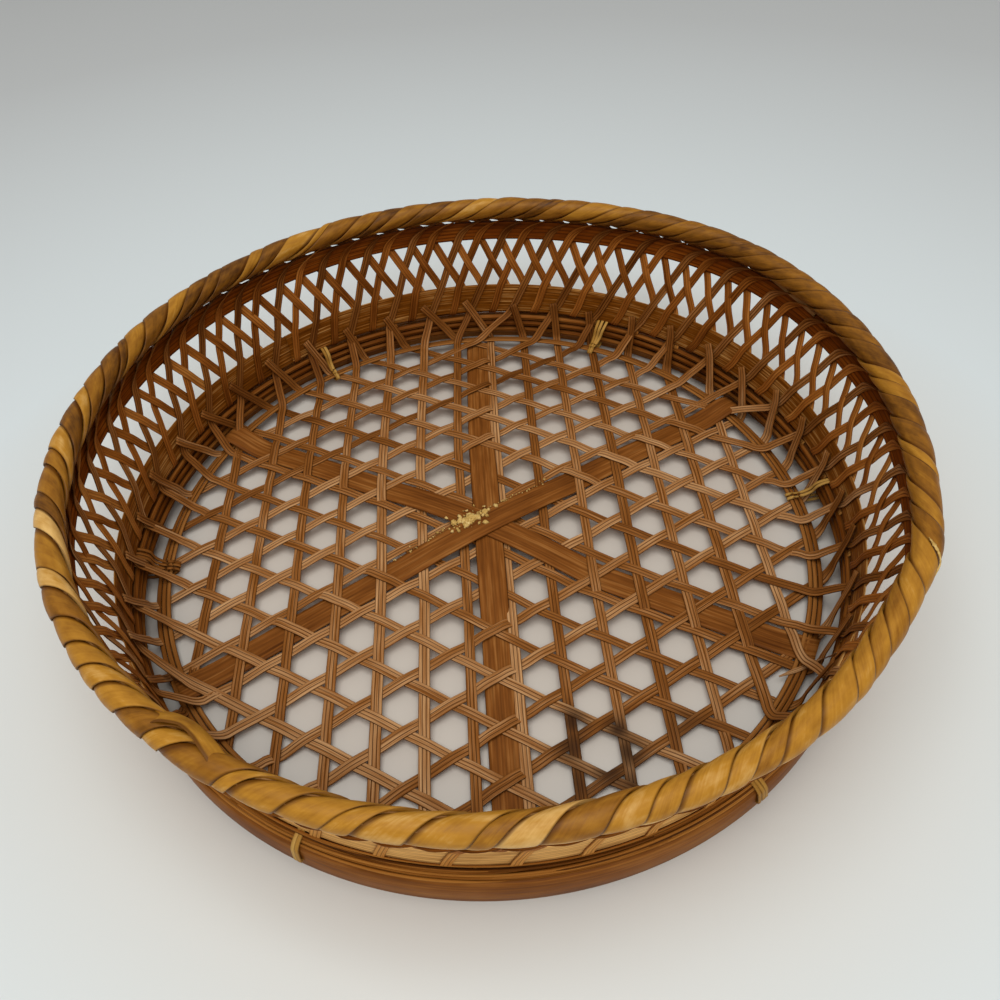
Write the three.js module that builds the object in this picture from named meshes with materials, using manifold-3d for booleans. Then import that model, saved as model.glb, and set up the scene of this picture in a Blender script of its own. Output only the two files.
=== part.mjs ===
// A round split-bamboo basket tray: an open hexagonal base, a lattice wall between two bands,
// a foot ring and a rim bound with a wound strip. Millimetres, +Z up.
// The origin is on the axis, at the level that the foot ring stands on.

import * as THREE from 'three';
import { mergeVertices } from 'three/addons/utils/BufferGeometryUtils.js';
import Module from 'manifold-3d';

// Driving dimensions

const CLEARANCE = 0.5;            // between neighbouring pieces
const RING_STEPS = 48;            // straight steps in a plain ring

const FOOT_OUTER_RADIUS = 140.5;
const FOOT_THICKNESS = 2.6;
const FOOT_HEIGHT = 13.5;

const ROD_COUNT = 3;
const ROD_DIAMETER = 3.1;
const ROD_FIRST_HEIGHT = 5.6;     // centre of the lowest rod
const ROD_SIDES = 4;

const SPLIT_WIDTH = 3.9;          // thin splits of the base and the wall
const SPLIT_THICKNESS = 0.5;
const SPLITS_EACH_WAY = 14;       // base splits in each of the three directions
const BASE_HEIGHT = 2.8;          // underside of the lowest layer of base splits
const BASE_EDGE_MARGIN = 0.4;     // from the outermost split to the edge hoop, in split spacings

const SLAT_WIDTH = 11;
const SLAT_THICKNESS = 1;
const SLAT_END_GAP = 1.5;         // from a slat's end to the edge hoop
const SLAT_RAMP = 14;             // length in which a slat climbs over the one below it

const EDGE_SPLIT_COUNT = 3;
const EDGE_SPLIT_WIDTH = 2.6;
const EDGE_SPLIT_THICKNESS = 1.2;
const EDGE_SETBACK = 1.5;         // from the edge hoop to the ends of the base splits

const WALL_FLARE = 11.3;          // degrees from upright
const WALL_LEAN = 26;             // degrees that the wall splits lean from upright
const WALL_SPLITS = 84;           // in each leaning direction
const TAIL_LENGTH = 9;            // turned-in foot of an inner wall split, under the base

const BAND_THICKNESS = 0.9;
const BAND_GRIP = 1.5;            // how far a split reaches into the edge of the band that holds it
const SLIT_HEIGHT = 1.6;          // open slit between the rods and the middle band
const MIDDLE_BAND_HEIGHT = 15.4;
const OPENING_HEIGHT = 21.8;      // open lattice between the two bands
const UPPER_BAND_HEIGHT = 8.4;

const RIM_RADIUS = 5.4;           // of the bound rim's round section
const HOOP_ARC_STEPS = 4;         // straight steps in a hoop's half-round
const RIM_WRAPS = 85;             // turns of the binding; an odd count closes after two rounds
const RIM_ROUNDS = 2;             // times that the binding goes round the tray
const WRAP_STEPS = 8;             // straight steps in one turn
const WRAP_THICKNESS = 0.6;
const WRAP_GAP = 0.6;             // between neighbouring turns, on the inner side of the rim

// Levels and radii that follow from the driving dimensions

const FOOT_INNER_RADIUS = FOOT_OUTER_RADIUS - FOOT_THICKNESS;
const ROD_RADIUS = FOOT_INNER_RADIUS - CLEARANCE - ROD_DIAMETER / 2;
const ROD_PITCH = ROD_DIAMETER + CLEARANCE;
const RODS_TOP = ROD_FIRST_HEIGHT + (ROD_COUNT - 1) * ROD_PITCH + ROD_DIAMETER / 2;
const WALL_SEAT_RADIUS = ROD_RADIUS - ROD_DIAMETER / 2 - CLEARANCE;

const MIDDLE_BAND_BOTTOM = RODS_TOP + SLIT_HEIGHT;
const MIDDLE_BAND_TOP = MIDDLE_BAND_BOTTOM + MIDDLE_BAND_HEIGHT;
const UPPER_BAND_BOTTOM = MIDDLE_BAND_TOP + OPENING_HEIGHT;
const UPPER_BAND_TOP = UPPER_BAND_BOTTOM + UPPER_BAND_HEIGHT;
const RIM_CENTRE_HEIGHT = UPPER_BAND_TOP + CLEARANCE + RIM_RADIUS;

// Sideways run of a leaning wall split for each unit of height, and its width along the wall
const LEAN_SLOPE = Math.tan(THREE.MathUtils.degToRad(WALL_LEAN));
const LEAN_WIDTH = SPLIT_WIDTH / Math.cos(THREE.MathUtils.degToRad(WALL_LEAN));

const BASE_LAYER_PITCH = SPLIT_THICKNESS + CLEARANCE;
const BASE_TOP = BASE_HEIGHT + 2 * BASE_LAYER_PITCH + SPLIT_THICKNESS;
const TAIL_HEIGHT = BASE_HEIGHT - CLEARANCE - SPLIT_THICKNESS / 2;
const BASE_EDGE_RADIUS = WALL_SEAT_RADIUS - SPLIT_THICKNESS - CLEARANCE;
const EDGE_OUTER_RADIUS = BASE_EDGE_RADIUS - EDGE_SETBACK;
const EDGE_SPLIT_PITCH = EDGE_SPLIT_WIDTH + CLEARANCE;
const EDGE_INNER_RADIUS = EDGE_OUTER_RADIUS - (EDGE_SPLIT_COUNT - 1) * EDGE_SPLIT_PITCH - EDGE_SPLIT_WIDTH;
const SPLIT_SPACING = 2 * EDGE_INNER_RADIUS / (SPLITS_EACH_WAY + 2 * BASE_EDGE_MARGIN);

// Radius of the inner wall splits' outer face at a height
function wallRadius(height) {
  const rise = Math.max(0, height - RODS_TOP);
  return WALL_SEAT_RADIUS + rise * Math.tan(THREE.MathUtils.degToRad(WALL_FLARE));
}

// Radial places in the wall, from the inner splits' outer face
const INNER_LAYER = -SPLIT_THICKNESS / 2;
const OUTER_LAYER = CLEARANCE + BAND_THICKNESS / 2;

const RIM_CENTRE_RADIUS = wallRadius(UPPER_BAND_TOP) + (INNER_LAYER + OUTER_LAYER) / 2;
const WRAP_FLAT = Math.cos(Math.PI / WRAP_STEPS);
const HOOP_RADIUS = (RIM_RADIUS - WRAP_THICKNESS) * WRAP_FLAT - CLEARANCE;

const COLOURS = {
  split: 0xa9713a,
  slat: 0x8c5527,
  edge: 0x9c6631,
  foot: 0x855129,
  rod: 0x5e3718,
  middleBand: 0x9a6a38,
  upperBand: 0x6d3716,
  hoop: 0xa87b45,
  wrap: 0xd39c3c,
};

const wasm = await Module();
wasm.setup();

const tray = new THREE.Group();

// Adds a named piece with its own finish
function addPiece(name, geometry, colour, roughness) {
  const material = new THREE.MeshStandardMaterial({ color: colour, roughness, metalness: 0 });
  const mesh = new THREE.Mesh(geometry, material);
  mesh.name = name;
  tray.add(mesh);
  return mesh;
}

// Keeps only merged positions, with the faces turned outwards
function closedGeometry(geometry) {
  const bare = geometry.clone();
  bare.deleteAttribute('normal');
  bare.deleteAttribute('uv');
  const merged = mergeVertices(bare, 1e-4);
  const index = merged.getIndex().array;
  const kept = [];
  const corners = [new THREE.Vector3(), new THREE.Vector3(), new THREE.Vector3()];
  let volume = 0;
  for (let i = 0; i < index.length; i += 3) {
    const face = [index[i], index[i + 1], index[i + 2]];
    if (new Set(face).size < 3) continue;
    corners.forEach((corner, k) => corner.fromBufferAttribute(merged.attributes.position, face[k]));
    volume += corners[0].dot(corners[1].clone().cross(corners[2]));
    kept.push(face);
  }
  const outward = kept.map(([a, b, c]) => (volume < 0 ? [a, c, b] : [a, b, c]));
  merged.setIndex(outward.flat());
  return merged;
}

// Closed prism through a row of four-cornered sections
function loft(sections) {
  const sides = sections[0].length;
  const positions = sections.flat().flatMap((point) => point.toArray());
  const faces = [];
  for (let i = 0; i + 1 < sections.length; i += 1) {
    for (let j = 0; j < sides; j += 1) {
      const a = i * sides + j;
      const b = i * sides + (j + 1) % sides;
      faces.push(a, b, b + sides, a, b + sides, a + sides);
    }
  }
  const last = (sections.length - 1) * sides;
  for (let j = 1; j + 1 < sides; j += 1) {
    faces.push(0, j + 1, j, last, last + j, last + j + 1);
  }
  const geometry = new THREE.BufferGeometry();
  geometry.setAttribute('position', new THREE.Float32BufferAttribute(positions, 3));
  geometry.setIndex(faces);
  return closedGeometry(geometry);
}

// Rectangular section of a flat strip, across its width and through its thickness
function stripSection(centre, across, through, width, thickness) {
  const corners = [[-1, -1], [1, -1], [1, 1], [-1, 1]];
  return corners.map(([i, j]) => centre.clone()
    .addScaledVector(across, i * width / 2)
    .addScaledVector(through, j * thickness / 2));
}

// Closed ring turned about the axis from a profile of [radius, height] points
function ring(profile, steps = RING_STEPS) {
  const outline = [...profile, profile[0]].map(([radius, height]) => new THREE.Vector2(radius, height));
  const geometry = new THREE.LatheGeometry(outline, steps);
  geometry.rotateX(Math.PI / 2);
  return closedGeometry(geometry);
}

// Solids for joining
function toSolid(geometry) {
  const vertProperties = Float32Array.from(geometry.attributes.position.array);
  const triVerts = Uint32Array.from(geometry.getIndex().array);
  return new wasm.Manifold(new wasm.Mesh({ numProp: 3, vertProperties, triVerts }));
}

function fromSolid(solid) {
  const mesh = solid.getMesh();
  const geometry = new THREE.BufferGeometry();
  geometry.setAttribute('position', new THREE.Float32BufferAttribute(mesh.vertProperties, 3));
  geometry.setIndex(Array.from(mesh.triVerts));
  return closedGeometry(geometry);
}

// Base splits: three flat layers, one for each direction, which leave hexagonal holes between them

function addBaseSplits() {
  const families = [['a', 90], ['b', 30], ['c', 150]];
  families.forEach(([letter, degrees], layer) => {
    const height = BASE_HEIGHT + layer * BASE_LAYER_PITCH + SPLIT_THICKNESS / 2;
    for (let k = 0; k < SPLITS_EACH_WAY; k += 1) {
      const offset = (k - (SPLITS_EACH_WAY - 1) / 2) * SPLIT_SPACING;
      const reach = Math.sqrt(BASE_EDGE_RADIUS ** 2 - (Math.abs(offset) + SPLIT_WIDTH / 2) ** 2);
      const box = new THREE.BoxGeometry(2 * reach, SPLIT_WIDTH, SPLIT_THICKNESS);
      box.translate(0, offset, 0);
      const number = String(k + 1).padStart(2, '0');
      const mesh = addPiece(`base_split_${letter}_${number}`, closedGeometry(box), COLOURS.split, 0.55);
      mesh.position.z = height;
      mesh.rotation.z = THREE.MathUtils.degToRad(degrees);
    }
  });
}

// Wide slats: each climbs over the ones below it at the middle of the base

function addSlats() {
  const slats = [['a', 90, 0], ['c', 150, 1], ['b', 30, 2]];
  const floor = BASE_TOP + CLEARANCE + SLAT_THICKNESS / 2;
  const reach = EDGE_INNER_RADIUS - SLAT_END_GAP;
  const plateau = SLAT_WIDTH;
  const along = new THREE.Vector3(1, 0, 0);
  const across = new THREE.Vector3(0, 1, 0);
  const up = new THREE.Vector3(0, 0, 1);
  for (const [letter, degrees, level] of slats) {
    const rise = level * (SLAT_THICKNESS + CLEARANCE);
    const half = [[plateau, rise], [plateau + SLAT_RAMP, 0], [reach, 0]];
    const stations = [...half.map(([x, z]) => [-x, z]).reverse(), ...half];
    const sections = stations.map(([x, z]) => {
      const centre = along.clone().multiplyScalar(x).addScaledVector(up, z);
      return stripSection(centre, across, up, SLAT_WIDTH, SLAT_THICKNESS);
    });
    const mesh = addPiece(`base_slat_${letter}`, loft(sections), COLOURS.slat, 0.5);
    mesh.position.z = floor;
    mesh.rotation.z = THREE.MathUtils.degToRad(degrees);
  }
}

// Edge hoop: flat splits side by side round the edge of the base

function addEdgeHoop() {
  const bottom = BASE_TOP + CLEARANCE;
  const top = bottom + EDGE_SPLIT_THICKNESS;
  for (let k = 0; k < EDGE_SPLIT_COUNT; k += 1) {
    const outer = EDGE_OUTER_RADIUS - k * EDGE_SPLIT_PITCH;
    const inner = outer - EDGE_SPLIT_WIDTH;
    const profile = [[inner, bottom], [outer, bottom], [outer, top], [inner, top]];
    addPiece(`edge_split_${k + 1}`, ring(profile), COLOURS.edge, 0.55);
  }
}

// Rods: thin round rods, one above the other, between the wall splits and the foot ring

function addRods() {
  for (let k = 0; k < ROD_COUNT; k += 1) {
    const height = ROD_FIRST_HEIGHT + k * ROD_PITCH;
    const profile = [];
    for (let j = 0; j < ROD_SIDES; j += 1) {
      const angle = 2 * Math.PI * j / ROD_SIDES;
      const radius = ROD_RADIUS + ROD_DIAMETER / 2 * Math.cos(angle);
      profile.push([radius, height + ROD_DIAMETER / 2 * Math.sin(angle)]);
    }
    addPiece(`wall_rod_${k + 1}`, ring(profile), COLOURS.rod, 0.5);
  }
}

// Foot ring: the wide smooth hoop that the tray stands on

function addFootRing() {
  const profile = [
    [FOOT_INNER_RADIUS, 0],
    [FOOT_OUTER_RADIUS, 0],
    [FOOT_OUTER_RADIUS, FOOT_HEIGHT],
    [FOOT_INNER_RADIUS, FOOT_HEIGHT],
  ];
  addPiece('foot_ring', ring(profile), COLOURS.foot, 0.4);
}

// A band that follows the flare of the wall, in one of its layers
function band(layer, bottom, top) {
  const inside = layer - BAND_THICKNESS / 2;
  const outside = layer + BAND_THICKNESS / 2;
  return ring([
    [wallRadius(bottom) + inside, bottom],
    [wallRadius(bottom) + outside, bottom],
    [wallRadius(top) + outside, top],
    [wallRadius(top) + inside, top],
  ], WALL_SPLITS);
}

// One wall split through [radius, height] points; turn is the sign of its lean round the axis
function wallSplit(points, turn) {
  const places = points.map(([radius, height]) => {
    const angle = turn * (height - TAIL_HEIGHT) * LEAN_SLOPE / wallRadius(height);
    return { angle, centre: new THREE.Vector3(radius * Math.cos(angle), radius * Math.sin(angle), height) };
  });
  const sections = places.map(({ angle, centre }, i) => {
    const before = places[Math.max(0, i - 1)].centre;
    const after = places[Math.min(places.length - 1, i + 1)].centre;
    const tangent = new THREE.Vector3(-Math.sin(angle), Math.cos(angle), 0);
    const through = tangent.clone().cross(after.clone().sub(before)).normalize();
    return stripSection(centre, tangent, through, LEAN_WIDTH, SPLIT_THICKNESS);
  });
  return loft(sections);
}

// Joins copies of a wall split to the band that holds them
function bandWithSplits(bandGeometry, split) {
  let solid = toSolid(bandGeometry);
  for (let k = 0; k < WALL_SPLITS; k += 1) {
    const copy = split.clone();
    copy.rotateZ(2 * Math.PI * (k + 0.5) / WALL_SPLITS);
    solid = solid.add(toSolid(copy));
  }
  return fromSolid(solid);
}

// Inner wall: splits that lean right hang from the upper band and turn in under the base

function addUpperBand() {
  const seat = WALL_SEAT_RADIUS + INNER_LAYER;
  const gripped = UPPER_BAND_BOTTOM + BAND_GRIP;
  const split = wallSplit([
    [seat - TAIL_LENGTH, TAIL_HEIGHT],
    [seat, TAIL_HEIGHT],
    [seat, RODS_TOP],
    [wallRadius(gripped) + INNER_LAYER, gripped],
  ], -1);
  const upper = band(INNER_LAYER, UPPER_BAND_BOTTOM, UPPER_BAND_TOP);
  addPiece('upper_band_with_inner_splits', bandWithSplits(upper, split), COLOURS.upperBand, 0.5);
}

// Outer wall: splits that lean left rise from the middle band and pass outside the upper band

function addMiddleBand() {
  const heights = [MIDDLE_BAND_TOP - BAND_GRIP, UPPER_BAND_TOP];
  const split = wallSplit(heights.map((height) => [wallRadius(height) + OUTER_LAYER, height]), 1);
  const middle = band(OUTER_LAYER, MIDDLE_BAND_BOTTOM, MIDDLE_BAND_TOP);
  addPiece('middle_band_with_outer_splits', bandWithSplits(middle, split), COLOURS.middleBand, 0.6);
}

// Rim hoops: two half-round canes, back to back

function addRimHoops() {
  for (const [name, side] of [['rim_hoop_inner', -1], ['rim_hoop_outer', 1]]) {
    const profile = [];
    for (let j = 0; j <= HOOP_ARC_STEPS; j += 1) {
      const angle = Math.PI * (j / HOOP_ARC_STEPS - 0.5);
      const flat = side * (CLEARANCE / 2);
      const radius = RIM_CENTRE_RADIUS + flat + side * (HOOP_RADIUS - CLEARANCE / 2) * Math.cos(angle);
      profile.push([radius, RIM_CENTRE_HEIGHT + HOOP_RADIUS * Math.sin(angle)]);
    }
    addPiece(name, ring(profile), COLOURS.hoop, 0.6);
  }
}

// Rim binding: one unbroken strip, wound on a slant round both hoops and twice round the tray

function rimPoint(ringAngle, turnAngle, radius) {
  const reach = RIM_CENTRE_RADIUS + radius * Math.cos(turnAngle);
  const height = RIM_CENTRE_HEIGHT + radius * Math.sin(turnAngle);
  return new THREE.Vector3(reach * Math.cos(ringAngle), reach * Math.sin(ringAngle), height);
}

function addRimWrap() {
  const pitch = 2 * Math.PI / RIM_WRAPS;
  const advance = RIM_ROUNDS * pitch / WRAP_STEPS;
  const half = (pitch - WRAP_GAP / (RIM_CENTRE_RADIUS - RIM_RADIUS)) / 2;
  const inner = RIM_RADIUS - WRAP_THICKNESS;
  const stepCount = RIM_WRAPS * WRAP_STEPS - 1;
  const sections = [];
  for (let i = 0; i <= stepCount; i += 1) {
    const turn = 2 * Math.PI * i / WRAP_STEPS;
    const middle = i * advance;
    sections.push([
      rimPoint(middle - half, turn, inner),
      rimPoint(middle + half, turn, inner),
      rimPoint(middle + half, turn, RIM_RADIUS),
      rimPoint(middle - half, turn, RIM_RADIUS),
    ]);
  }
  console.log('rim wrap: least gap to itself', leastGap(sections).toFixed(2), 'mm');
  addPiece('rim_wrap', loft(sections), COLOURS.wrap, 0.35);
}

// Least distance between corner points that lie more than half a turn apart along the strip
function leastGap(sections) {
  let least = Infinity;
  for (let i = 0; i < sections.length; i += 1) {
    for (let j = i + WRAP_STEPS / 2 + 1; j < sections.length; j += 1) {
      for (const p of sections[i]) {
        for (const q of sections[j]) {
          least = Math.min(least, p.distanceTo(q));
        }
      }
    }
  }
  return least;
}

addBaseSplits();
addSlats();
addEdgeHoop();
addRods();
addFootRing();
addMiddleBand();
addUpperBand();
addRimHoops();
addRimWrap();

export default tray;
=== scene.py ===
# A round split-bamboo basket tray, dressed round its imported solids

import math
from functools import partial

import bmesh
import bpy
import numpy as np
from mathutils import Matrix, Vector
from numpy.random import default_rng


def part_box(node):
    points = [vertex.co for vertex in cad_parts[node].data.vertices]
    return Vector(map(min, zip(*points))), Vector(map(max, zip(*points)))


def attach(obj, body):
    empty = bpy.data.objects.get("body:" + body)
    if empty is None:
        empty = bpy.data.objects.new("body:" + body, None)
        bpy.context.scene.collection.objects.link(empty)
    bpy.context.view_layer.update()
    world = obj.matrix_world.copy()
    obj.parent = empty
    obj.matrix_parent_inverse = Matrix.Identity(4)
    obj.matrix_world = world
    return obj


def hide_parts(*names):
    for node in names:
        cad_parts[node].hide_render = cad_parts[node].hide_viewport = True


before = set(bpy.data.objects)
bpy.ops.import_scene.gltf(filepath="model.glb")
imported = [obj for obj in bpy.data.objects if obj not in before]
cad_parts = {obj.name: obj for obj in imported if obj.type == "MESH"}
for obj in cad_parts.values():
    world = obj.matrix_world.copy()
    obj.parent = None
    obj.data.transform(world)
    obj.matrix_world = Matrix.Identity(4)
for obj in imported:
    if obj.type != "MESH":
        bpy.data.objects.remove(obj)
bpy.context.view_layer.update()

MM = 0.001
UP = np.array([0.0, 0.0, 1.0])


def box_mm(node):
    low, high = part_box(node)
    return np.array(low) / MM, np.array(high) / MM


# Sizes read from the frame, in millimetres

FOOT_RADIUS = box_mm("foot_ring")[1][0]
FOOT_HEIGHT = box_mm("foot_ring")[1][2]
ROD_BOXES = [box_mm(f"wall_rod_{k}") for k in (1, 2, 3)]
ROD_DIAMETER = ROD_BOXES[0][1][2] - ROD_BOXES[0][0][2]
ROD_RADIUS = ROD_BOXES[0][1][0] - ROD_DIAMETER / 2
RODS_TOP = ROD_BOXES[2][1][2]
HOOP_OUTSIDE = box_mm("edge_split_1")[1][0]
MIDDLE_BOTTOM = box_mm("middle_band_with_outer_splits")[0][2]
UPPER_TOP = box_mm("upper_band_with_inner_splits")[1][2]
WRAP_LOW, WRAP_HIGH = box_mm("rim_wrap")
RIM_HEIGHT = (WRAP_HIGH[2] + WRAP_LOW[2]) / 2
RIM_RADIUS = WRAP_HIGH[0] - (WRAP_HIGH[2] - WRAP_LOW[2]) / 2
SPLIT_SPACING = box_mm("base_split_a_01")[0][0] - box_mm("base_split_a_02")[0][0]

# Sizes set here, in millimetres and degrees

PATH_STEP = 1.6
TOUCH = 0.05  # clearance between strips that lie on each other
SPLIT_COUNT = 14  # in each of the three directions
SPLIT_WIDTH = 4.0
SPLIT_THICKNESS = 0.5
SPLIT_RIDGES = 3
FAMILIES = {"a": 90.0, "b": 30.0, "c": 150.0}
FAMILY_SHIFT = {"a": 1.3, "b": 0.0, "c": 0.0}  # how far each direction lies from the centre
PASSES_OVER = {"a": "b", "b": "c", "c": "a"}
BASE_EDGE_HEIGHT = 3.4  # middle of the weave at its edge
BASE_DOME = 2.8  # rise of the weave towards the centre
BASE_REACH = 119.0  # radius where the weave ends
WEAVE_LIFT = 0.3  # half the height between two splits that cross
SLAT_THICKNESS = 0.8
SLAT_RIDGES = 4
SLAT_COVER = 0.48  # how far a split keeps its height beside a slat's middle, in slat widths
SLAT_UNDER = -0.55  # height of a slat under it
SLAT_FREE = 38.0  # a slat lies on top of the weave this far from the centre
HOOP_SPLITS = 3
HOOP_HEIGHT = 4.0
HOOP_THICKNESS = 0.7
HOOP_SPLIT_WIDTH = 1.72
HOOP_INSET = 1.4  # how far the hoop lies inside its solid's outer edge
HOOP_SHIFT = -1.0  # and how far to one side
ROD_LIFT = 0.7
WALL_CLEARANCE = 0.5  # between the rods and the foot of the wall
WALL_FLARE = 11.3
WALL_SPLITS = 84
WALL_SPLIT_WIDTH = 3.5
MIDDLE_LIFT = 0.9  # of the middle band above its solid
MIDDLE_HEIGHT = 14.7
MIDDLE_RIDGES = 9
MIDDLE_OUT = (1.5, 2.3)  # how far its two edges stand outside the foot of the wall
UPPER_HEIGHT = 8.4
UPPER_RIDGES = 5
BAND_THICKNESS = 0.8
INNER_LAYER = -0.35  # middle of the inner splits, from the bands' inner face
OUTER_LAYER = 1.15
BASE_LEAN = 24.0  # lean of the base splits in front of the middle band
EXTRA_LEAN = (14.5, 6.5)  # lean there of the other right-leaning splits, and how much more at the right
OPEN_LEAN = 25.5  # lean of both above it
OUTER_LEAN = 27.6  # lean of the left-leaning splits
OUTER_BAND_LEAN = 17.0  # and where they cross the middle band
SWAP_HEIGHT = 43.0  # the two layers of wall splits change places about this height
SWAP_SPREAD = 5.0
SWAP_DEPTH = 1.2
RIM_TUBE = 4.5
RIM_PINCH = 0.09  # how much thinner the rim is at the front
RIM_PINCH_SPREAD = 45.0
RIM_WRAPS = 85
RIM_ROUNDS = 3
FRONT = 270.0  # directions round the tray
RIGHT = 0.0

MIDDLE_LOW = MIDDLE_BOTTOM + MIDDLE_LIFT
MIDDLE_TOP = MIDDLE_LOW + MIDDLE_HEIGHT
UPPER_BOTTOM = UPPER_TOP - UPPER_HEIGHT
WALL_SEAT = ROD_RADIUS - ROD_DIAMETER / 2 - WALL_CLEARANCE

# Photograph's camera: focal length in pixels of a 1000-pixel frame, angles in degrees

IMAGE_SIZE = 1000.0
FOCAL_PIXELS = 849.81
CAMERA_ELEVATION = 49.2417
CAMERA_DISTANCE = 345.46
CAMERA_YAW = 0.79656
CAMERA_PITCH = 2.53966
CAMERA_ROLL = -3.82386
SENSOR_WIDTH = 36.0


# Small helpers for places and curves


def unit(vectors):
    return vectors / np.linalg.norm(vectors, axis=-1, keepdims=True)


def polar(radius, degrees, height):
    angle = np.radians(degrees)
    radius, angle, height = np.broadcast_arrays(np.asarray(radius, float), angle, np.asarray(height, float))
    return np.stack([radius * np.cos(angle), radius * np.sin(angle), height], axis=-1)


def inward(degrees, tilt=0.0):
    """Unit vector towards the axis, tilted down by so many degrees."""
    lean = math.radians(tilt)
    angle = math.radians(degrees)
    flat = math.cos(lean)
    return np.array([-math.cos(angle) * flat, -math.sin(angle) * flat, -math.sin(lean)])


def smoothstep(low, high, value):
    t = np.clip((np.asarray(value, float) - low) / (high - low), 0, 1)
    return t * t * (3 - 2 * t)


def turn_from(middle, degrees):
    """Degrees from one direction to another, within half a turn."""
    return (degrees - middle + 180.0) % 360.0 - 180.0


def closeness(degrees, middle, spread):
    """One at a direction round the tray, falling off smoothly to both sides."""
    return np.exp(-((turn_from(middle, degrees) / spread) ** 2))


def distances(curve):
    """Distance along a curve to each of its points."""
    return np.concatenate([[0], np.cumsum(np.linalg.norm(np.diff(curve, axis=0), axis=1))])


def taper(curve, shares, widths):
    """Widths along a curve, blended between those given at some shares of it."""
    return np.interp(np.linspace(0, 1, len(curve)), shares, widths)


def wall_radius(height):
    """Radius of the bands' inner face at a height."""
    top = WALL_SEAT + (UPPER_TOP - RODS_TOP) * math.tan(math.radians(WALL_FLARE))
    heights = (RODS_TOP, MIDDLE_LOW, MIDDLE_TOP, UPPER_TOP)
    radii = (WALL_SEAT, WALL_SEAT + MIDDLE_OUT[0], WALL_SEAT + MIDDLE_OUT[1], top)
    return np.interp(height, heights, radii)


def base_height(radius):
    return BASE_EDGE_HEIGHT + BASE_DOME * (1 - min(1.0, radius / BASE_REACH) ** 2)


def side_turn(height, band_lean, open_lean):
    """Degrees that a wall split has moved sideways from the middle band's upper edge."""
    lean = open_lean if height > MIDDLE_TOP else band_lean
    return math.degrees((height - MIDDLE_TOP) * math.tan(math.radians(lean)) / wall_radius(height))


base_turn = partial(side_turn, band_lean=BASE_LEAN, open_lean=OPEN_LEAN)
outer_turn = partial(side_turn, band_lean=OUTER_BAND_LEAN, open_lean=OUTER_LEAN)


def extra_turn(even):
    """The same for one of the splits between the base splits' ends."""
    lean = EXTRA_LEAN[0] + EXTRA_LEAN[1] * math.cos(math.radians(even))
    return partial(side_turn, band_lean=lean, open_lean=OPEN_LEAN)


def layer_swap(height):
    """How far the inner and outer wall splits have changed places at a height."""
    return SWAP_DEPTH * math.exp(-(((height - SWAP_HEIGHT) / SWAP_SPREAD) ** 2))


# How the hand-made tray has given way

WALL_SLIP = (-0.6, -1.6)  # degrees that the wall has slipped round: evenly, and towards the front
SLIP_START = 4.0  # height where the slip starts
SLIP_RISE = 18.0  # and how much higher it is full
BASE_TILT = 0.014  # how much the base rises towards the back, for each millimetre
BASE_FADE = (126.0, 134.0)  # radii between which the tilt and the drift of the base end
DRIFT_CORE = 45.0  # radius out to which the drift grows evenly
DRIFT_FADE = (40.0, 170.0)  # radii between which it fades
BEND_HEIGHTS = (14.0, 64.0)  # heights between which the bends of the rim grow

# Millimetres that the weave has drifted in x and in y: in the middle, then how much more to the right,
# to the back, and to the right and back together
WEAVE_DRIFT = np.array([[-1.36, -0.45, -0.64, 1.03], [1.26, -1.8, 2.15, 2.55]])

# Bends of the rim: direction and spread in degrees, then millimetres outwards and upwards
RIM_BENDS = (
    (38.0, 24.0, 1.8, 2.0),
    (331.0, 8.0, 2.2, 0.0),
    (306.0, 20.0, 1.6, -2.4),
    (268.0, 34.0, 2.1, -2.3),
)


def bent(points):
    """Moves points with the slip of the wall, the tilt and drift of the base and the bends of the rim."""
    radius = np.hypot(points[:, 0], points[:, 1])
    degrees = np.degrees(np.arctan2(points[:, 1], points[:, 0]))
    slip = WALL_SLIP[0] + WALL_SLIP[1] * np.cos(np.radians(degrees))
    degrees += slip * np.clip((points[:, 2] - SLIP_START) / SLIP_RISE, 0, 1)
    points = polar(radius, degrees, points[:, 2])
    in_base = 1 - smoothstep(*BASE_FADE, radius)
    points[:, 2] += BASE_TILT * points[:, 1] * in_base
    right, back = points[:, :2].T / np.maximum(radius, DRIFT_CORE)
    drift = WEAVE_DRIFT @ np.stack([np.ones(len(points)), right, back, right * back])
    points[:, :2] += (drift * in_base * (1 - smoothstep(*DRIFT_FADE, radius))).T
    share = smoothstep(*BEND_HEIGHTS, points[:, 2])
    for middle, spread, out, up in RIM_BENDS:
        weight = share * closeness(degrees, middle, spread)
        points[:, :2] *= (1 + weight * out / np.maximum(radius, 1))[:, None]
        points[:, 2] += weight * up
    return points


# Strips: a path, a section that is swept along it, and a batch of strips that becomes one object


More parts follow.
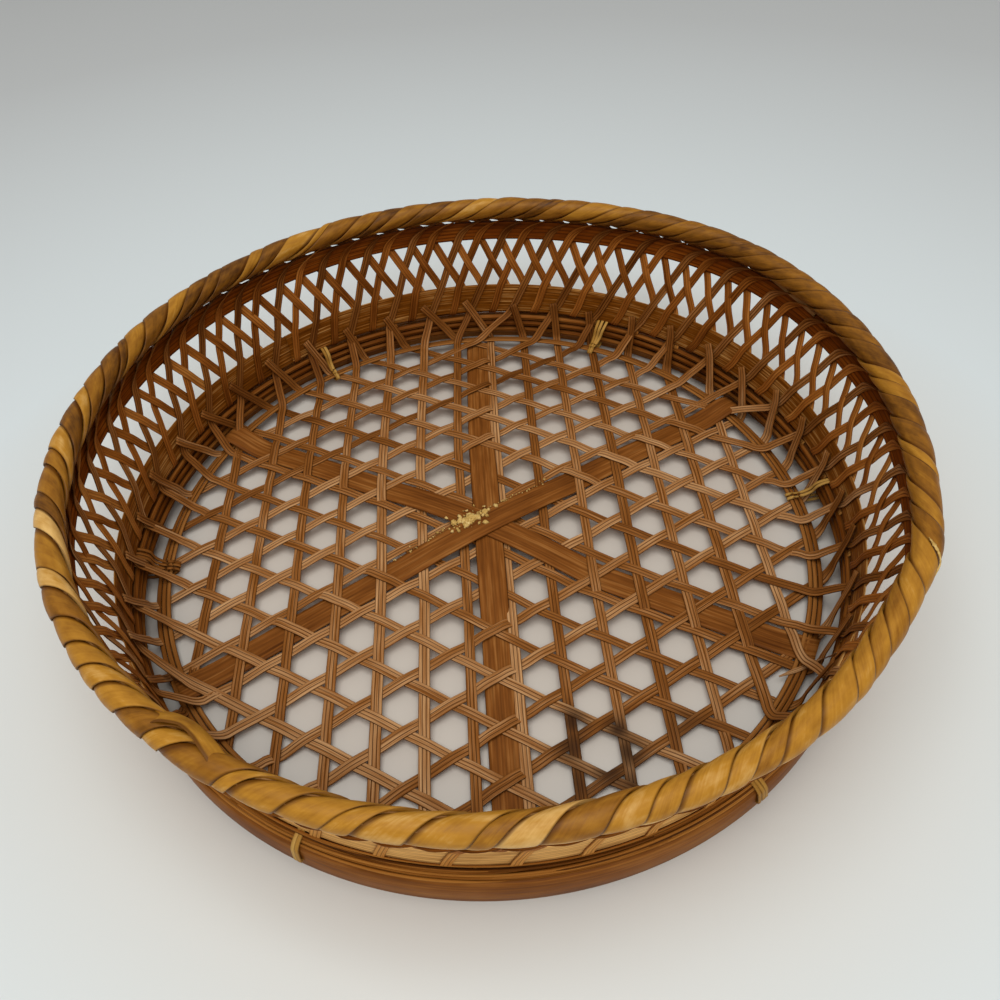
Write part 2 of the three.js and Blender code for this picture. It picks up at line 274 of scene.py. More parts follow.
class Path:
    """Places along a strip, each with the direction that the strip's upper face looks in."""

    def __init__(self, points=(), normals=()):
        self.points = list(points)
        self.normals = list(normals)

    def add(self, point, normal):
        self.points.append(point)
        self.normals.append(normal)

    def add_round(self, radius, degrees, height, tilt):
        """A place round the tray's axis, facing inwards."""
        self.add(polar(radius, degrees, height), inward(degrees, tilt))

    def smooth(self, step=PATH_STEP):
        """Smooth curve through the places at even steps, with the normals blended along it."""
        points = np.array(self.points, float)
        normals = np.array(self.normals, float)
        knots = distances(points)
        tangents = np.gradient(points, knots, axis=0)
        count = max(3, int(round(knots[-1] / step)) + 1)
        along = np.linspace(0, knots[-1], count)
        i = np.clip(np.searchsorted(knots, along, side="right") - 1, 0, len(knots) - 2)
        h = np.diff(knots)[i][:, None]
        t = (along[:, None] - knots[i][:, None]) / h
        curve = (2 * t**3 - 3 * t**2 + 1) * points[i] + (t**3 - 2 * t**2 + t) * h * tangents[i]
        curve += (3 * t**2 - 2 * t**3) * points[i + 1] + (t**3 - t**2) * h * tangents[i + 1]
        return curve, normals[i] * (1 - t) + normals[i + 1] * t


def ridged_section(ridges, depth, lip=0.08, groove=0.07):
    """Section of a split, across in half widths and through in thicknesses: ridges on its upper face."""
    side, shoulder, crest, brink = -0.1, 0.38, 0.5, 0.44
    top = [(-1.0, side), (-1 + lip, shoulder)]
    for i in range(ridges):
        top.append((-1 + (2 * i + 1) / ridges, crest))
        if i + 1 < ridges:
            middle = -1 + 2 * (i + 1) / ridges
            top += [(middle - groove, brink), (middle, brink - depth), (middle + groove, brink)]
    top += [(1 - lip, shoulder), (1.0, side)]
    return np.array(top + [(1 - lip, -0.5), (-1 + lip, -0.5)])


def round_section(sides):
    turn = 2 * np.pi * np.arange(sides) / sides
    return np.stack([np.cos(turn), 0.5 * np.sin(turn)], axis=1)


SPLIT_SECTION = ridged_section(SPLIT_RIDGES, 0.22, groove=0.09)
SLAT_SECTION = ridged_section(SLAT_RIDGES, 0.06)
HOOP_SECTION = ridged_section(1, 0.0, lip=0.3)
FLAT_SECTION = ridged_section(1, 0.0)
ROD_SECTION = round_section(10)
STRAND_SECTION = round_section(6)
GRAIN_STEP = 57.0  # sets the grain of strips with different tones apart


def add_object(name, data):
    item = bpy.data.objects.new(name, data)
    bpy.context.scene.collection.objects.link(item)
    return item


class Batch:
    """Gathers swept strips, with a place across and along and a tone for each point."""

    def __init__(self):
        self.points = []
        self.faces = []
        self.across = []
        self.tones = []
        self.grains = []
        self.count = 0

    def add_grid(self, rings, across, along, tone):
        """rings: steps x section points x 3; tone: one number, or one for each step or section point."""
        steps, sides = rings.shape[:2]
        first = self.count
        last = first + (steps - 1) * sides
        for i in range(steps - 1):
            for j in range(sides):
                a = first + i * sides + j
                b = first + i * sides + (j + 1) % sides
                self.faces.append((a, b, b + sides, a + sides))
        self.faces.append(tuple(range(first + sides - 1, first - 1, -1)))
        self.faces.append(tuple(range(last, last + sides)))
        self.points.append(rings.reshape(-1, 3))
        uv = np.stack(np.broadcast_arrays(across[None, :], along[:, None] * MM), axis=-1)
        self.across.append(uv.reshape(-1, 2))
        tones = np.broadcast_to(np.asarray(tone, float), (steps, sides)).reshape(-1)
        self.tones.append(tones)
        self.grains.append(np.full(len(tones), GRAIN_STEP * tones[0]))
        self.count += steps * sides

    def sweep(self, curve, normals, width, thickness, section, tone):
        """normals, width and thickness: one for the whole curve, or one for each of its points."""
        tangents = unit(np.gradient(curve, axis=0))
        normals = np.broadcast_to(normals, curve.shape)
        normals = unit(normals - (normals * tangents).sum(1, keepdims=True) * tangents)
        sideways = np.cross(tangents, normals)
        widths = np.broadcast_to(np.asarray(width, float), (len(curve),))[:, None, None]
        depths = np.broadcast_to(np.asarray(thickness, float), (len(curve),))[:, None, None]
        rings = curve[:, None, :] + sideways[:, None, :] * (section[None, :, :1] * widths / 2)
        rings = rings + normals[:, None, :] * (section[None, :, 1:] * depths)
        self.add_grid(rings, (section[:, 0] + 1) / 2, distances(curve), tone)

    def build(self, name, material, replaces=()):
        """Puts the strips in the scene as one piece that rides on the tray."""
        points = bent(np.vstack(self.points)) * MM
        mesh = bpy.data.meshes.new(name)
        mesh.from_pydata(points.tolist(), [], self.faces)
        corners = np.zeros(len(mesh.loops), np.int32)
        mesh.loops.foreach_get("vertex_index", corners)
        layer = mesh.uv_layers.new(name="strip")
        layer.data.foreach_set("uv", np.vstack(self.across)[corners].astype(np.float32).ravel())
        values = {
            "tone": np.concatenate(self.tones),
            "grain": np.concatenate(self.grains),
            "stain": stained(points / MM),
        }
        for key, numbers in values.items():
            attribute = mesh.attributes.new(key, "FLOAT", "POINT")
            attribute.data.foreach_set("value", numbers.astype(np.float32))
        mesh.polygons.foreach_set("use_smooth", np.ones(len(mesh.polygons), bool))
        mesh.update()
        mesh.materials.append(MATERIALS[material])
        face_outward(mesh)
        piece = add_object(name, mesh)
        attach(piece, "root")
        if replaces:
            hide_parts(*replaces)


def face_outward(mesh):
    work = bmesh.new()
    work.from_mesh(mesh)
    bmesh.ops.recalc_face_normals(work, faces=work.faces)
    work.to_mesh(mesh)
    work.free()


def add_strip(name, material, strip, replaces=()):
    """A piece of one strip, given as what sweep takes."""
    batch = Batch()
    batch.sweep(*strip)
    batch.build(name, material, replaces)


# Dark stains on the base: place, spread and strength
STAINS = (
    (23.5, -86.0, 6.0, 0.9),
    (22.0, -95.0, 7.0, 0.8),
    (21.0, -107.0, 8.0, 0.75),
    (38.0, -90.0, 5.0, 0.95),
    (40.0, -98.0, 7.0, 0.9),
    (33.0, -104.0, 7.0, 0.85),
    (41.0, -109.0, 8.0, 0.8),
    (61.0, -90.0, 8.0, 0.45),
)


def stained(points):
    strength = np.zeros(len(points))
    for x, y, spread, most in STAINS:
        away = ((points[:, 0] - x) ** 2 + (points[:, 1] - y) ** 2) / spread**2
        strength = np.maximum(strength, most * np.exp(-away))
    return strength


# Materials

CANE_STOPS = (0.22, 0.48, 0.76)  # shades of the dark, middle and light colours
GROOVE_SHADE = 0.4  # colour in a groove, dirt and painted shade, as a share of the dark colour
STAIN_COLOUR = (0.034, 0.014, 0.006, 1.0)
# colour of the dark seam lines of the binding and of the painted shade beside them
SEAM_AND_SHADE_COLOUR = (0.1, 0.03, 0.002, 1.0)

# Colours of the rim binding by shade: brown, amber, gold and straw
WRAP_COLOURS = (
    (0.12, (0.075, 0.025, 0.003)),
    (0.34, (0.26, 0.1, 0.008)),
    (0.58, (0.46, 0.207, 0.02)),
    (0.84, (0.74, 0.45, 0.15)),
)


class Tree:
    """Short forms for building a node tree."""

    def __init__(self, name):
        self.material = bpy.data.materials.new(name)
        self.material.use_nodes = True
        self.nodes = self.material.node_tree.nodes
        self.shader = self.nodes["Principled BSDF"].inputs

    def feed(self, socket, value):
        if isinstance(value, bpy.types.NodeSocket):
            self.material.node_tree.links.new(value, socket)
        else:
            socket.default_value = value

    def add(self, kind, inputs=(), output=0, **settings):
        """Adds a node, feeds its inputs by number or name, and returns one of its outputs."""
        node = self.nodes.new(kind)
        for key, value in settings.items():
            setattr(node, key, value)
        for key, value in inputs.items() if isinstance(inputs, dict) else enumerate(inputs):
            self.feed(node.inputs[key], value)
        return node.outputs[output]

    def math(self, operation, *values):
        return self.add("ShaderNodeMath", values, operation=operation)

    def noise(self, place_at, scale, detail=3.0):
        inputs = {"Vector": place_at, "Scale": scale, "Detail": detail, "Roughness": 0.55}
        return self.add("ShaderNodeTexNoise", inputs, "Fac")

    def ramp(self, factor, stops):
        colour = self.add("ShaderNodeValToRGB", (factor,))
        elements = colour.node.color_ramp.elements
        while len(elements) < len(stops):
            elements.new(0.5)
        for element, (position, shade) in zip(elements, stops):
            element.position = position
            element.color = (*shade, 1.0)
        return colour

    def mix(self, factor, first, second):
        inputs = {"Factor": factor, "A": first, "B": second}
        return self.add("ShaderNodeMix", inputs, "Result", data_type="RGBA")

    def fit(self, value, low, high, to_low=0.0, to_high=1.0):
        inputs = (value, low, high, to_low, to_high)
        return self.add("ShaderNodeMapRange", inputs, "Result", interpolation_type="SMOOTHSTEP")


def strip_place(tree):
    """Place across and along a strip."""
    uv = tree.add("ShaderNodeUVMap", output="UV", uv_map="strip")
    outputs = tree.add("ShaderNodeSeparateXYZ", (uv,)).node.outputs
    return outputs[0], outputs[1]


def strip_value(tree, key):
    return tree.add("ShaderNodeAttribute", output="Fac", attribute_name=key)


def strip_noise(tree, across, along, across_scale, along_scale):
    """Noise that runs along a strip and differs from one strip to the next."""
    x = tree.math("MULTIPLY", across, across_scale)
    y = tree.math("MULTIPLY", along, along_scale)
    return tree.noise(tree.add("ShaderNodeCombineXYZ", (x, y, strip_value(tree, "grain"))), 1.0)


def strip_shade(tree, parts, start):
    """Shade of a strip: a start, and a share of each part."""
    shade = start
    for value, share in parts:
        shade = tree.math("MULTIPLY_ADD", value, share, shade)
    return shade


def finish_cane(tree, colour, fibres, gloss, specular):
    """Colour, roughness and fine relief of the fibres."""
    relief = tree.add("ShaderNodeBump", {"Strength": 0.35, "Distance": 0.0002, "Height": fibres})
    tree.feed(tree.shader["Base Color"], colour)
    tree.feed(tree.shader["Roughness"], tree.fit(fibres, 0.2, 0.8, gloss - 0.08, gloss + 0.14))
    tree.feed(tree.shader["Specular IOR Level"], specular)
    tree.feed(tree.shader["Normal"], relief)
    return tree.material


def cane_material(name, dark, middle, light, lines, groove, gloss=0.5, specular=0.05, fibre=24.0):
    """Split bamboo or cane: fibres along the strip, dirt and painted shade in the grooves and a tone for
    each strip.
    """
    tree = Tree(name)
    across, along = strip_place(tree)
    fibres = strip_noise(tree, across, along, fibre, 34.0)
    blotch = strip_noise(tree, across, along, 1.6, 42.0)
    shade = strip_shade(tree, ((fibres, 0.72), (blotch, 0.45), (strip_value(tree, "tone"), 0.34)), -0.26)
    colour = tree.ramp(shade, tuple(zip(CANE_STOPS, (dark, middle, light))))
    ridge = tree.math("FRACT", tree.math("MULTIPLY", across, lines))
    beside = tree.math("MULTIPLY", tree.math("ABSOLUTE", tree.math("SUBTRACT", ridge, 0.5)), 2.0)
    # The grooves are darkened: dirt and painted shade in the recesses
    groove_dirt_and_shade = tree.math("MULTIPLY", tree.fit(beside, 0.6, 0.95), groove)
    groove_dirt_and_shade = tree.math("MULTIPLY", groove_dirt_and_shade, tree.fit(blotch, 0.2, 0.6, 0.6, 1.0))
    colour = tree.mix(groove_dirt_and_shade, colour, (*(GROOVE_SHADE * part for part in dark), 1.0))
    colour = tree.mix(strip_value(tree, "stain"), colour, STAIN_COLOUR)
    return finish_cane(tree, colour, fibres, gloss, specular)


def binding_material():
    """Glossy cane skin: soft golden mottling, brown turns here and there, a dark line at each seam and
    painted shade beside it on the trailing side.
    """
    tree = Tree("rim_cane")
    across, along = strip_place(tree)
    fibres = strip_noise(tree, across, along, 16.0, 30.0)
    mottle = strip_noise(tree, across, along, 2.4, 190.0)
    shade = strip_shade(tree, ((mottle, 0.5), (fibres, 0.2), (strip_value(tree, "tone"), 0.64)), -0.19)
    # Painted shade on the trailing side of each seam, fading away from the turn that lies over it; a dark
    # line along the raised leading edge
    tucked = tree.fit(across, 0.12, 0.28, 0.85, 0.0)
    lifted = tree.fit(across, 0.92, 1.0, 0.0, 0.6)
    seam_line_and_shade = tree.math("MAXIMUM", tucked, lifted)
    colour = tree.mix(seam_line_and_shade, tree.ramp(shade, WRAP_COLOURS), SEAM_AND_SHADE_COLOUR)
    return finish_cane(tree, colour, fibres, gloss=0.42, specular=0.16)


# Bamboo and cane: dark, middle and light colour, then lines, groove and at times gloss, specular, fibre
CANES = {
    "bamboo_split": ((0.08, 0.02, 0.002), (0.285, 0.101, 0.019), (0.65, 0.37, 0.17), SPLIT_RIDGES, 0.9),
    "bamboo_slat": (
        (0.09, 0.024, 0.003), (0.22, 0.07, 0.011), (0.42, 0.18, 0.046), SLAT_RIDGES, 0.25, 0.5, 0.05, 13.0
    ),
    "bamboo_hoop": ((0.09, 0.026, 0.004), (0.25, 0.085, 0.014), (0.46, 0.2, 0.052), 1, 0.7),
    "bamboo_rod": ((0.035, 0.007, 0.0), (0.17, 0.046, 0.004), (0.38, 0.145, 0.028), 2, 0.8),
    "bamboo_strand": ((0.04, 0.01, 0.001), (0.21, 0.066, 0.007), (0.43, 0.175, 0.032), 1, 0.0),
    "bamboo_foot": ((0.09, 0.023, 0.001), (0.215, 0.069, 0.009), (0.38, 0.155, 0.032), 1, 0.0, 0.5, 0.1),
    "bamboo_middle_band": ((0.055, 0.012, 0), (0.235, 0.07, 0.005), (0.85, 0.47, 0.15), MIDDLE_RIDGES, 0.4),
    "bamboo_upper_band": ((0.05, 0.009, 0), (0.17, 0.036, 0.001), (0.34, 0.105, 0.012), UPPER_RIDGES, 0.6),
    "bamboo_wall_split": (
        (0.11, 0.027, 0.002), (0.38, 0.122, 0.018), (0.66, 0.31, 0.075), SPLIT_RIDGES, 0.6
    ),
    "rim_core": ((0.14, 0.06, 0.018), (0.3, 0.14, 0.045), (0.4, 0.22, 0.08), 1, 0.0, 0.6),
    "tie_cane": ((0.25, 0.11, 0.016), (0.44, 0.22, 0.04), (0.6, 0.36, 0.1), 1, 0.4, 0.4),
    "dried_crumb": ((0.36, 0.2, 0.05), (0.6, 0.38, 0.11), (0.78, 0.56, 0.24), 1, 0.0, 0.4),
}
MATERIALS = {name: cane_material(name, *recipe) for name, recipe in CANES.items()}
MATERIALS["rim_cane"] = binding_material()


# Slats: on top of the weave near the centre, under it farther out

SLAT_ORDER = "acb"  # the slats where they cross, from the lowest up
SLAT_STACK = (4.0, 42.0)  # distances from the centre between which a slat comes down from the stack
SLAT_DIVE = (24.0, 52.0)  # between which it goes under the weave
SLAT_CURL = (112.0, 131.0)  # and between which its end climbs
SLAT_STEPS = 160
SLAT_OFFSETS = {"a": -0.6, "b": 0.0, "c": 0.0}
SLAT_WIDTHS = {"a": 11.2, "b": 10.8, "c": 11.0}
SLAT_TONES = {"a": 0.44, "b": 0.36, "c": 0.4}

# Where each slat ends, from the centre, and how far it climbs there, for its two ends
SLAT_ENDS = {
    "a": ((-124.0, 0.6), (126.0, -0.9)),
    "b": ((-129.5, 1.6), (131.0, 4.5)),
    "c": ((-129.8, 1.3), (131.5, 5.5)),
}


def family_axes(letter):
    """Flat directions along and across the splits of one family."""
    angle = math.radians(FAMILIES[letter])
    along = np.array([math.cos(angle), math.sin(angle)])
    return along, np.array([-along[1], along[0]])


def slat_height(letter, t):
    """Height of a slat at a distance from the centre, from the middle of the weave."""
    away = abs(t)
    resting = WEAVE_LIFT + (SPLIT_THICKNESS + SLAT_THICKNESS) / 2 + TOUCH
    climb = SLAT_ORDER.index(letter) * (SLAT_THICKNESS + TOUCH) * (1 - smoothstep(*SLAT_STACK, away))
    on_top = 1 - smoothstep(*SLAT_DIVE, away)
    return SLAT_UNDER + (resting - SLAT_UNDER) * on_top + climb


def add_slats():
    for letter in FAMILIES:
        along, across = family_axes(letter)
        (near, near_climb), (far, far_climb) = SLAT_ENDS[letter]
        curve = []
        for t in np.linspace(near, far, SLAT_STEPS):
            climb = near_climb if t < 0 else far_climb
            height = base_height(abs(t)) + slat_height(letter, t) + climb * smoothstep(*SLAT_CURL, abs(t))
            curve.append([*(t * along + SLAT_OFFSETS[letter] * across), height])
        strip = (np.array(curve), UP, SLAT_WIDTHS[letter], SLAT_THICKNESS, SLAT_SECTION, SLAT_TONES[letter])
        add_strip(f"slat_{letter}", "bamboo_slat", strip, [f"base_slat_{letter}"])


# Base: splits in three directions, each over one of the others and under the third


def split_offset(letter, k):
    return (k - (SPLIT_COUNT - 1) / 2) * SPLIT_SPACING + FAMILY_SHIFT[letter]


def third_family(first, second):
    return next(letter for letter in FAMILIES if letter not in (first, second))


def on_slat(slat, place_at):
    """Whether a crossing lies on a slat, out where the slat runs under the weave."""
    along, across = family_axes(slat)
    return abs(place_at @ across) < SPLIT_WIDTH / 2 and abs(place_at @ along) >= SLAT_FREE


def crossing_height(letter, other, place_at):
    """Height of a split at a crossing, from the middle of the weave."""
    lift = WEAVE_LIFT if PASSES_OVER[letter] == other else -WEAVE_LIFT
    slat = third_family(letter, other)
    if not on_slat(slat, place_at):
        return lift
    level = slat_height(slat, place_at @ family_axes(slat)[0])
    return level + (SLAT_THICKNESS + SPLIT_THICKNESS) / 2 + TOUCH + WEAVE_LIFT + lift


def base_knots(letter, offset):
    """Places along a split where it crosses the others, with its height there."""
    along, across = family_axes(letter)
    knots = []
    for other in FAMILIES:
        if other == letter:
            continue
        normal = family_axes(other)[1]
        slat = third_family(letter, other)
        for k in range(SPLIT_COUNT):
            t = (split_offset(other, k) - offset * (across @ normal)) / (along @ normal)
            flat = offset * across + t * along
            radius = np.linalg.norm(flat)
            if radius >= BASE_REACH:
                continue
            height = base_height(radius) + crossing_height(letter, other, flat)
            reach = SLAT_COVER * SLAT_WIDTHS[slat]
            for shift in ((-reach, 0.0, reach) if on_slat(slat, flat) else (0.0,)):
                knots.append((t + shift, np.array([*(flat + shift * along), height])))
    return [point for t, point in sorted(knots, key=lambda knot: knot[0])]


# Ends of the base splits: one end leans left and stops, the other leans right and climbs to the rim

EVEN_STEP = 360.0 / (WALL_SPLITS // 2)
EVEN_START = -1.0  # first right-leaning split beside each slat, at the middle band's upper edge
EVEN_SPREAD = 0.2
CLIMB_INSIDE = 121.0  # radius where a climbing end comes over the edge hoop
CLIMB_START = 125.4  # and where it leaves the base
CLIMB_REST = 0.6  # how far inside the other wall splits it meets the middle band
CLIMB_LIFT = 0.3
CLIMB_TILTS = ((0.1, -57.5), (0.4, -50.0), (0.7, -42.5), (1.0, -35.0))  # share of the way, and tilt
TIP_START = -1.9  # first left-leaning tip beside each slat, at its top
TIP_SPREAD = 0.5
TIP_HEIGHT = 22.0  # where the cut tips of the left-leaning ends stop
TIP_RISE = 5.0  # how much higher they stop on the left and right
TIP_LEAN = 0.15  # degrees farther to the left for each millimetre higher
TIP_REST = 1.1  # how far inside the bands a tip stands
CUT_INSIDE = 122.5  # radius where a cut end goes under the edge hoop
CUT_START = 130.4  # and where it leaves the base
CUT_TILTS = ((0.06, -55.0), (0.35, -20.0), (0.7, -20.0), (1.0, -20.0))
BEFORE_START = 1.0  # how far before that it still lies flat
WALL_HEIGHTS = (20.0, 24.0, 28.0, 31.5, 35.0, 39.0, 43.0, 47.0, 51.0, 54.0)

# Top of a wall split: height, degrees sideways, tilt, and how far it moves away from its layer
RIM_TURN = (
    (56.2, 0.1, 12.0, -0.2),
    (58.4, 0.5, 34.0, -0.7),
    (60.4, 1.3, 52.0, -1.0),
    (62.0, 2.6, 62.0, -0.7),
    (63.4, 4.2, 70.0, 0.0),
)


def end_line(letter, offset, side):
    """Flat place on a split's own line at a radius, towards one of its ends."""
    along, across = family_axes(letter)

    def at(radius):
        return offset * across + side * math.sqrt(radius**2 - offset**2) * along

    return at


def split_end(letter, k, side, leans_right, rng):
    """Path of a split's end from the edge hoop upwards."""
    at = end_line(letter, split_offset(letter, k), side)
    slat_end = FAMILIES[letter] + (0.0 if side > 0 else 180.0)
    order = abs(k - (SPLIT_COUNT - 1) / 2) - 0.5
    clear = (HOOP_THICKNESS + SPLIT_THICKNESS) / 2 + TOUCH
    if leans_right:
        even = slat_end + EVEN_START + EVEN_STEP * order + rng.normal(0, EVEN_SPREAD)
        return climbing_end(at, even, HOOP_HEIGHT + clear)
    even = slat_end - TIP_START - EVEN_STEP * order + rng.normal(0, TIP_SPREAD)
    rise = TIP_RISE * abs(math.cos(math.radians(even))) + rng.normal(0, 1.0)
    return cut_end(at, even + TIP_LEAN * rise, HOOP_HEIGHT - clear, TIP_HEIGHT + rise)


def own_angle(at, radius, reference):
    """Direction of a split's own line at a radius, within half a turn of the reference."""
    x, y = at(radius)
    return reference + turn_from(reference, math.degrees(math.atan2(y, x)))


def add_rise(path, at, start, end, tilts):
    """Straight from (radius, height) on a split's own line to (radius, direction, height) at the wall."""
    own = own_angle(at, start[0], end[1])
    for share, tilt in tilts:
        radius = start[0] + (end[0] - start[0]) * share
        height = start[1] + (end[2] - start[1]) * share
        path.add_round(radius, own + (end[1] - own) * share, height, tilt)


def climbing_end(at, even, level):
    """Over the edge hoop, straight up across the rods to the middle band, and on to the rim."""
    path = Path()
    path.add([*at(CLIMB_INSIDE), level], UP)
    path.add([*at(CLIMB_START - BEFORE_START), level + 0.1], UP)
    reach = wall_radius(MIDDLE_LOW) + INNER_LAYER - CLIMB_REST
    end = (reach, even - base_turn(MIDDLE_LOW), MIDDLE_LOW + CLIMB_LIFT)
    add_rise(path, at, (CLIMB_START, level + CLIMB_LIFT), end, CLIMB_TILTS)
    add_wall_run(path, even, base_turn)
    return path


def cut_end(at, even, level, tip):
    """Under the edge hoop, then straight on to a cut tip that leans against the wall."""
    path = Path()
    for radius in (CUT_INSIDE, CUT_START - BEFORE_START):
        path.add([*at(radius), level], UP)
    add_rise(path, at, (CUT_START, level), (wall_radius(tip) - TIP_REST, even, tip), CUT_TILTS)
    return path


def add_wall_run(path, even, turn):
    """A right-leaning split from the middle band to the rim."""
    for height in WALL_HEIGHTS:
        angle = even - turn(height)
        radius = wall_radius(height) + INNER_LAYER + layer_swap(height)
        path.add_round(radius, angle, height, -WALL_FLARE)
    add_rim_turn(path, even, turn, -1.0, INNER_LAYER)


def add_rim_turn(path, even, turn, sign, layer):
    """The top of a wall split: it curves sideways and tucks in under the rim binding."""
    outside = layer > 0
    for height, extra, tilt, away in RIM_TURN:
        angle = even + sign * (turn(height) + extra)
        facing = inward(angle, tilt)
        if outside:
            facing[:2] *= -1
        shift = -away if outside else away
        path.add(polar(wall_radius(height) + layer + shift, angle, height), facing)


BACK_SHADE = 0.28  # how much browner the splits are at the back


def back_shade(curve, first, last):
    """How much browner a split is, growing between two distances behind the middle."""
    return BACK_SHADE * smoothstep(first, last, curve[:, 1])


def add_base_split(seed, letter, k):
    rng = default_rng(seed)
    beyond = k >= SPLIT_COUNT / 2
    knots = base_knots(letter, split_offset(letter, k))
    far = split_end(letter, k, 1, beyond, rng)
    near = split_end(letter, k, -1, not beyond, rng)
    normals = near.normals[::-1] + [UP] * len(knots) + far.normals
    curve, normals = Path(near.points[::-1] + knots + far.points, normals).smooth()
    on_wall = smoothstep(6, 20, curve[:, 2])
    width = SPLIT_WIDTH * rng.uniform(0.92, 1.06)
    width = width + (WALL_SPLIT_WIDTH - width) * on_wall
    tone = rng.uniform(0.25, 0.85) * (1 - 0.3 * on_wall) - back_shade(curve, 20, 140)
    strip = (curve, normals, width, SPLIT_THICKNESS, SPLIT_SECTION, tone[:, None])
    number = f"{letter}_{k + 1:02d}"
    add_strip(f"split_{number}", "bamboo_split", strip, [f"base_split_{number}"])


def add_base_splits():
    for index, letter in enumerate(FAMILIES):
        for k in range(SPLIT_COUNT):
            add_base_split(1000 * index + k, letter, k)


# Rings: hoops, rods, bands and the foot, each with the direction where its ends meet

RING_STEP = 1.5
RING_TURN = 359.95  # just short of a full turn
HOOP_JOINTS = (40.0, 150.0, 260.0)
ROD_JOINTS = (75.0, 205.0, 335.0)
MIDDLE_JOINT = 130.0
UPPER_JOINT = 20.0
FOOT_JOINT = 118.0
FOOT_THICKNESS = 2.6
FOOT_EDGE = 0.7  # rounding of its edges
FOOT_BULGE = 0.15  # of its outer face


def ring_noise(rng, degrees, waves=9):
    """Slow random wobble round a ring, about one unit high."""
    total = np.zeros(len(degrees))
    for wave in range(2, waves):
        total += rng.normal() / wave * np.sin(np.radians(wave * degrees) + rng.uniform(0, 2 * np.pi))
    return total


def ring_angles(start, turn=RING_TURN):
    return start + np.linspace(0, turn, int(turn / RING_STEP))


def add_edge_hoop():
    for k in range(HOOP_SPLITS):
        degrees = ring_angles(HOOP_JOINTS[k])
        radius = HOOP_OUTSIDE - HOOP_INSET - (k + 0.5) * (HOOP_SPLIT_WIDTH + 0.02)
        radius = radius + 0.25 * ring_noise(default_rng(300), degrees)
        height = HOOP_HEIGHT + 0.1 * ring_noise(default_rng(301 + k), degrees, 20)
        curve = polar(radius, degrees, height)
        curve[:, 0] += HOOP_SHIFT
        strip = (curve, UP, HOOP_SPLIT_WIDTH, HOOP_THICKNESS, HOOP_SECTION, 0.3 + 0.2 * k)
        add_strip(f"edge_hoop_{k + 1}", "bamboo_hoop", strip, [f"edge_split_{k + 1}"])


def add_rods():
    for k, (low, high) in enumerate(ROD_BOXES):
        rng = default_rng(400 + k)
        degrees = ring_angles(ROD_JOINTS[k])
        radius = ROD_RADIUS + 0.2 * ring_noise(rng, degrees)
        height = (low[2] + high[2]) / 2 + ROD_LIFT + 0.3 * ring_noise(rng, degrees, 14)
        curve = polar(radius, degrees, height)
        thick = ROD_DIAMETER * (1 + 0.08 * ring_noise(rng, degrees, 30))
        facing = -unit(curve * np.array([1, 1, 0]))
        strip = (curve, facing, thick, thick, ROD_SECTION, rng.uniform(0.2, 0.8))
        add_strip(f"rod_{k + 1}", "bamboo_rod", strip, [f"wall_rod_{k + 1}"])


def add_lathe(name, material, profile, start, replaces):
    """A hoop turned from a closed profile of (radius, height, place across, tone) points."""
    degrees = ring_angles(start)
    radius, height, across, tone = np.array(profile).T
    rings = np.stack([polar(radius, angle, height) for angle in degrees])
    batch = Batch()
    batch.add_grid(rings, across, np.radians(degrees - start) * radius.mean(), tone)
    batch.build(name, material, replaces)


def band_profile(bottom, top, ridges, depth, shaded_inner_tone, lit_outer_tone):
    """A flat band with ridges on both faces, following the flare of the wall; its outer face is painted
    lighter and its inner face darker, as painted light and shade.
    """
    inner = []
    outer = []
    for i in range(2 * ridges + 1):
        share = i / (2 * ridges)
        height = bottom + (top - bottom) * share
        dent = depth if i % 2 == 0 else 0.0
        radius = wall_radius(height)
        inner.append((radius + dent, height, share, shaded_inner_tone))
        outer.append((radius + BAND_THICKNESS - dent, height, share, lit_outer_tone))
    return inner + outer[::-1]


def add_middle_band():
    # Painted light: the outer face much lighter, as if lit, and the inner face darker, as if in shade
    profile = band_profile(MIDDLE_LOW, MIDDLE_TOP, MIDDLE_RIDGES, 0.16, shaded_inner_tone=0.4, lit_outer_tone=1.15)
    node = "middle_band_with_outer_splits"
    add_lathe("middle_band", "bamboo_middle_band", profile, MIDDLE_JOINT, [node])


def add_upper_band():
    top = UPPER_TOP - 0.4
    # Painted light: the outer face a little lighter than the inner face
    profile = band_profile(UPPER_BOTTOM, top, UPPER_RIDGES, 0.12, shaded_inner_tone=0.4, lit_outer_tone=0.6)
    node = "upper_band_with_inner_splits"
    add_lathe("upper_band", "bamboo_upper_band", profile, UPPER_JOINT, [node])


def add_foot():
    outer = FOOT_RADIUS
    inner = outer - FOOT_THICKNESS
    top = FOOT_HEIGHT
    outline = [
        (inner + FOOT_EDGE, 0.0, 0.1),
        (outer - FOOT_EDGE, 0.0, 0.0),
        (outer - FOOT_BULGE, FOOT_EDGE, 0.05),
        (outer, top * 0.45, 0.45),
        (outer - FOOT_BULGE, top - FOOT_EDGE, 0.95),
        (outer - FOOT_EDGE, top, 1.0),
        (inner + FOOT_EDGE, top, 1.0),
        (inner, top - FOOT_EDGE, 0.95),
        (inner, FOOT_EDGE, 0.05),
    ]
    profile = [(*point, 0.5) for point in outline]
    add_lathe("foot_hoop", "bamboo_foot", profile, FOOT_JOINT, ["foot_ring"])


# Thin strands that fill the corner between the foot ring and the middle band, outside the rods

STRAND_COUNT = 32
STRAND_LANES = 6
STRAND_START = (139.3, 14.0)  # radius and height of the outermost lane
STRAND_RUN = (-2.6, 3.2)  # and how far the innermost lies from it
STRAND_HEIGHTS = (13.9, 17.8)


